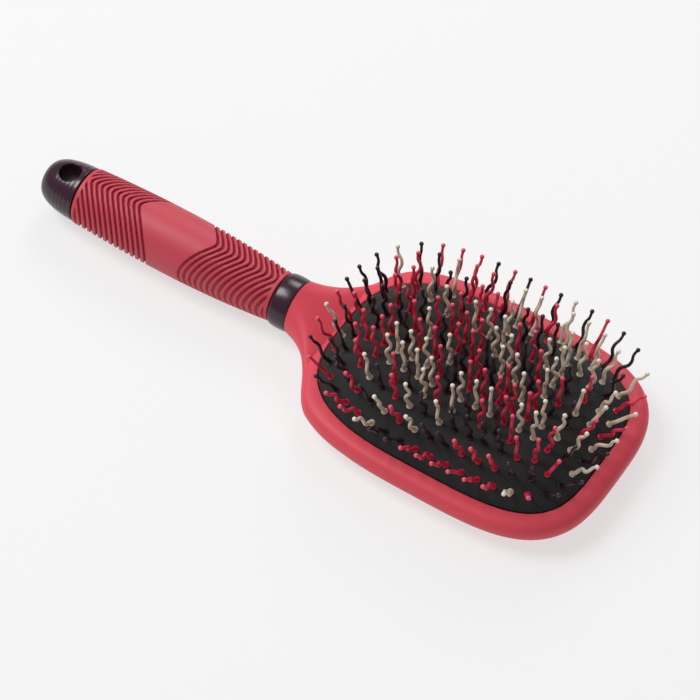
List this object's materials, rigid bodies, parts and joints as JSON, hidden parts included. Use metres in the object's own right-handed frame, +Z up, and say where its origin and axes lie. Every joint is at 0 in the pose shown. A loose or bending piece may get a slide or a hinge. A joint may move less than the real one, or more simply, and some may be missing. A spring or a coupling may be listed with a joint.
{
  "type": "bristle brush",
  "caption": "Grooming paddle brush: ball-tipped wavy pins in a domed air cushion that gives when pressed, on a ribbed rubber grip with a hang hole in the end cap.",
  "frame": {"origin": "on the table under the middle of the brush's length and width, with the brush lying on its back", "axes": "+X along the brush from the butt of the handle to the far end of the head; +Z up, the way the pins point"},
  "size_m": [0.248, 0.0896, 0.0442],
  "materials": {
    "coral_plastic": "soft satin",
    "grip_rubber": "matt",
    "plum_plastic": "gloss",
    "cushion_rubber": "fine cloth texture",
    "pink_nylon": "satin",
    "beige_nylon": "satin",
    "black_nylon": "satin"
  },
  "bodies": {
    "handle_and_head": {"Head_Frame": "coral_plastic", "Grip_Sleeve": "grip_rubber", "Collar_Ring": "plum_plastic", "End_Cap": "plum_plastic", "Cushion_Membrane": "cushion_rubber"},
    "edge_pins": {"Edge_Pins_1": "pink_nylon", "Edge_Pins_2": "beige_nylon", "Edge_Pins_3": "black_nylon", "Edge_Pins_4": "pink_nylon", "Edge_Pins_5": "beige_nylon", "Edge_Pins_6": "black_nylon", "Edge_Pins_7": "pink_nylon", "Edge_Pins_8": "beige_nylon"},
    "shoulder_pins": {"Shoulder_Pins_1": "black_nylon", "Shoulder_Pins_2": "pink_nylon", "Shoulder_Pins_3": "beige_nylon", "Shoulder_Pins_4": "black_nylon", "Shoulder_Pins_5": "pink_nylon", "Shoulder_Pins_6": "beige_nylon", "Shoulder_Pins_7": "black_nylon", "Shoulder_Pins_8": "pink_nylon"},
    "middle_pins": {"Middle_Loop_Pins_1": "beige_nylon", "Middle_Loop_Pins_2": "black_nylon", "Middle_Loop_Pins_3": "pink_nylon", "Middle_Loop_Pins_4": "beige_nylon", "Middle_Loop_Pins_5": "black_nylon", "Middle_Loop_Pins_6": "pink_nylon", "Middle_Row_1_Handle_Side": "beige_nylon", "Middle_Row_1_Far_Side": "black_nylon", "Middle_Row_2_Handle_Side": "pink_nylon", "Middle_Row_2_Far_Side": "beige_nylon", "Middle_Row_3_Handle_Side": "black_nylon", "Middle_Row_3_Far_Side": "pink_nylon", "Middle_Row_4_Handle_Side": "beige_nylon", "Middle_Row_4_Far_Side": "black_nylon", "Middle_Row_5_Handle_Side": "pink_nylon", "Middle_Row_5_Far_Side": "beige_nylon", "Middle_Row_6_Handle_Side": "black_nylon", "Middle_Row_6_Far_Side": "pink_nylon", "Middle_Row_7_Handle_Side": "beige_nylon", "Middle_Row_7_Far_Side": "black_nylon"}
  },
  "joints": [
    {"name": "middle_press", "type": "slide", "parent": "handle_and_head", "child": "middle_pins", "axis": [0, 0, -1], "range_m": [0, 0.006], "stiffness_N_per_m": 2500, "deforming": ["Cushion_Membrane"]},
    {"name": "shoulder_press", "type": "slide", "parent": "handle_and_head", "child": "shoulder_pins", "axis": [0, 0, -1], "range_m": [0, 0.0045], "stiffness_N_per_m": 600},
    {"name": "edge_press", "type": "slide", "parent": "handle_and_head", "child": "edge_pins", "axis": [0, 0, -1], "range_m": [0, 0.002], "stiffness_N_per_m": 600}
  ],
  "couplings": [
    {"joint": "shoulder_press", "follows": "middle_press", "ratio": 0.74},
    {"joint": "edge_press", "follows": "middle_press", "ratio": 0.33}
  ]
}
